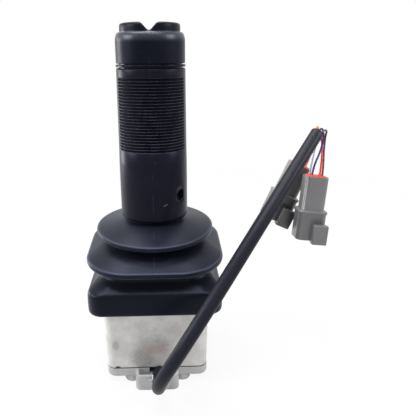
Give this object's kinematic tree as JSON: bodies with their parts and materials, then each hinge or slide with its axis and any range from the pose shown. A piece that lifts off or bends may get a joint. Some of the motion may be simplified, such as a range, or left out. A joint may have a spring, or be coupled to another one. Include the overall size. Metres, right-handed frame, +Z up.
{
  "type": "industrial joystick",
  "caption": "Industrial hand joystick: ribbed grip with a thumb rocker, bellows boot, cast housing with a gimbal inside, and a cable with wires to square plugs.",
  "frame": {"origin": "middle of the underside, on the plane of the screw bosses' feet", "axes": "+X to the operator's right, +Y away from the side where the cable leaves, +Z up along the lever at rest"},
  "size_m": [0.1636, 0.1311, 0.2387],
  "materials": {
    "cast_alloy": "sand cast, matt and mottled",
    "cover_alloy": "satin die cast",
    "machined_alloy": "machined",
    "steel": "zinc plated",
    "spring_steel": "drawn wire and strip",
    "bronze": "sintered",
    "magnet": "nickel plated",
    "black_plastic": "moulded",
    "gate_plastic": "moulded acetal",
    "cap_plastic": "fine matt",
    "rocker_plastic": "fine matt",
    "board_green": "solder mask",
    "black_rubber": "matt",
    "boot_rubber": "matt with a soft sheen",
    "grip_rubber": "matt",
    "cable_sleeve": "smooth",
    "wire_navy": "smooth",
    "wire_brown": "smooth",
    "wire_red": "smooth",
    "wire_pale": "smooth",
    "wire_orange": "smooth",
    "wire_violet": "smooth",
    "plug_grey": "moulded",
    "seal_red": "soft"
  },
  "bodies": {
    "base": {"housing": "cast_alloy", "mounting_flange": "cast_alloy", "cover_gasket": "black_rubber", "bottom_cover": "cover_alloy", "cover_screws": "steel", "bearing_blocks": "machined_alloy", "bearing_bushes": "bronze", "flange_screws": "steel", "pitch_sensor": "black_plastic", "roll_sensor": "black_plastic", "pitch_spring": "spring_steel", "roll_spring": "spring_steel", "travel_gate": "gate_plastic", "boot_ring": "steel", "boot": "boot_rubber", "control_board": "board_green", "board_parts": "black_plastic", "small_screws": "steel", "cable_core": "black_rubber", "cable_clamp": "steel", "cable": "cable_sleeve", "wire_navy": "wire_navy", "wire_brown": "wire_brown", "wire_red": "wire_red", "wire_pale": "wire_pale", "wire_orange": "wire_orange", "wire_violet": "wire_violet", "front_plug": "plug_grey", "front_seal": "seal_red", "front_lock": "black_plastic", "rear_plug": "plug_grey", "rear_seal": "seal_red", "rear_lock": "black_plastic"},
    "gimbal": {"gimbal_frame": "machined_alloy", "gimbal_pins": "steel", "lever_pin": "steel", "pitch_magnet": "magnet", "pitch_arm": "steel"},
    "yoke": {"yoke": "machined_alloy", "yoke_pins": "steel", "roll_magnet": "magnet", "roll_arm": "steel"},
    "lever": {"lever_hub": "machined_alloy", "hub_bushes": "bronze", "hub_pin": "steel", "drive_rod": "steel", "shaft": "steel", "stop_sleeve": "gate_plastic", "rocker_wires": "black_rubber", "grip_core": "black_plastic", "grip_sleeve": "grip_rubber", "grip_screw": "steel", "lip_ring": "cap_plastic", "cap": "cap_plastic", "cap_screws": "steel", "rocker_board": "board_green", "rocker_pin": "steel", "rocker_spring": "spring_steel"},
    "rocker": {"rocker": "rocker_plastic", "rocker_magnet": "magnet"}
  },
  "joints": [
    {"name": "pitch", "type": "hinge", "parent": "base", "child": "gimbal", "pos_m": [0, 0, 0.048], "axis": [1, 0, 0], "range_deg": [-18, 18], "stiffness_Nm_per_rad": 3.5, "deforming": ["boot", "pitch_spring"]},
    {"name": "roll", "type": "hinge", "parent": "gimbal", "child": "lever", "pos_m": [0, 0, 0.048], "axis": [0, 1, 0], "range_deg": [-18, 18], "stiffness_Nm_per_rad": 3.5, "deforming": ["boot", "roll_spring"]},
    {"name": "yoke_turn", "type": "hinge", "parent": "base", "child": "yoke", "pos_m": [0, 0, 0.048], "axis": [0, 1, 0], "range_deg": [-18, 18], "deforming": ["roll_spring"]},
    {"name": "rocker_tilt", "type": "hinge", "parent": "lever", "child": "rocker", "pos_m": [0, 0, 0.2302], "axis": [0, 1, 0], "range_deg": [-8, 8], "stiffness_Nm_per_rad": 0.2, "deforming": ["rocker_spring"]}
  ],
  "couplings": [
    {"joint": "yoke_turn", "follows": "roll", "ratio": 1}
  ]
}
